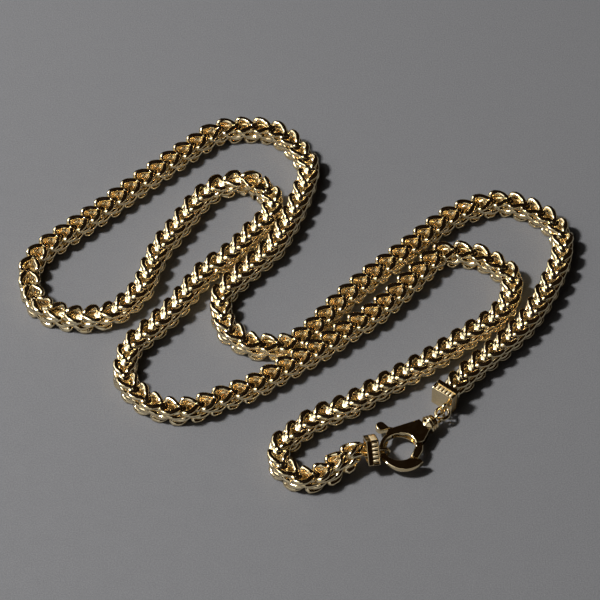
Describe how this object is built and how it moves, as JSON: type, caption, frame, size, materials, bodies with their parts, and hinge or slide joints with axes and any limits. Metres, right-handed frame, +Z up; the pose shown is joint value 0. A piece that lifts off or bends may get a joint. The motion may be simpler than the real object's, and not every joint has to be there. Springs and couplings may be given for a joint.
{
  "type": "franco chain necklace",
  "caption": "Square section franco link neck chain laid in loops, closed by a lobster clasp between two box end caps.",
  "frame": {"origin": "on the surface that the necklace lies on, under the middle of its box", "axes": "+Z up from the surface, +X along the laid out loop's longer side, the clasp at the -Y side"},
  "size_m": [0.1206, 0.1, 0.0076],
  "materials": {
    "chain_gold": "polished yellow gold plate",
    "cap_gold": "polished yellow gold plate, satin in the sunk bands",
    "ring_gold": "polished yellow gold plate",
    "clasp_gold": "mirror polished yellow gold plate",
    "lever_gold": "mirror polished yellow gold plate"
  },
  "bodies": {
    "necklace": {"chain_first_half": "chain_gold", "chain_second_half": "chain_gold", "end_cap_first": "cap_gold", "end_cap_second": "cap_gold", "jump_ring": "ring_gold", "clasp_body": "clasp_gold"},
    "lever": {"clasp_lever": "lever_gold"}
  },
  "joints": [
    {"name": "lever_hinge", "type": "hinge", "parent": "necklace", "child": "lever", "pos_m": [0.02542, -0.0367, 0.0023], "axis": [0, 0, -1], "range_deg": [0, 18], "stiffness_Nm_per_rad": 0.001, "springref_deg": -28.65}
  ]
}
